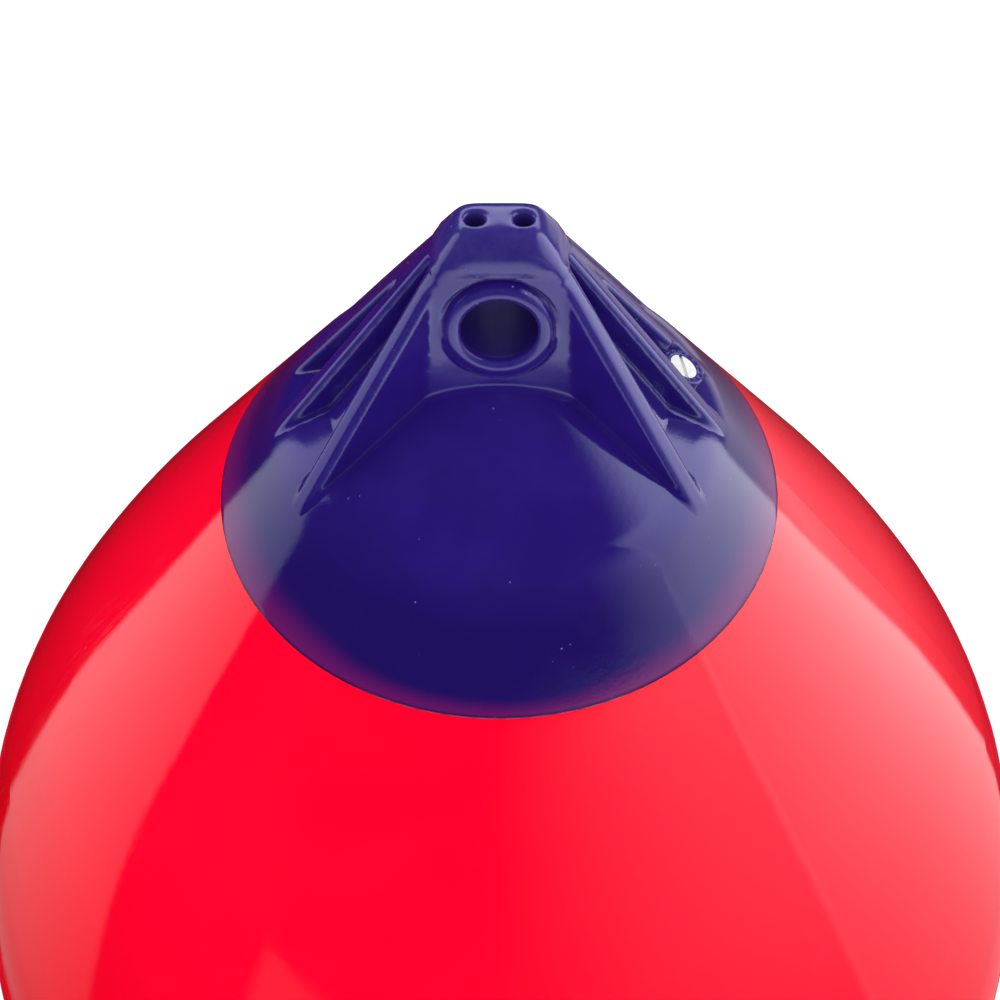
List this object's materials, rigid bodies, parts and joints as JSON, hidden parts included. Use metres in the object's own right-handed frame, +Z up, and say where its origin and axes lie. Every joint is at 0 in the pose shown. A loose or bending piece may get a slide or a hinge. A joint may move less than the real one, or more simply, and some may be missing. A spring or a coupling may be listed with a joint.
{
  "type": "inflatable mooring buoy",
  "caption": "Round inflatable mooring buoy: hollow ball running up into a cone, moulded rope hold with a through eye and radiating ribs, and a screw plug in the filling valve.",
  "frame": {"origin": "on the buoy's own axis at the still waterline of the unloaded buoy, 73 mm above the ball's lowest point", "axes": "+Z up along the buoy's axis to the rope hold, -Y to the front, the rope eye runs along Y and the valve is on the +X side"},
  "size_m": [0.5209, 0.5208, 0.6855],
  "materials": {
    "body_vinyl": "glossy",
    "hold_vinyl": "semi-gloss",
    "seat_vinyl": "semi-gloss",
    "plug_plastic": "satin"
  },
  "bodies": {
    "buoy": {"float_body": "body_vinyl", "rope_hold": "hold_vinyl", "valve_seat": "seat_vinyl"},
    "plug": {"valve_plug": "plug_plastic"}
  },
  "joints": [
    {"name": "valve_plug_out", "type": "slide", "parent": "buoy", "child": "plug", "axis": [0.4567, 0.0682, 0.887], "range_m": [0, 0.03]}
  ]
}
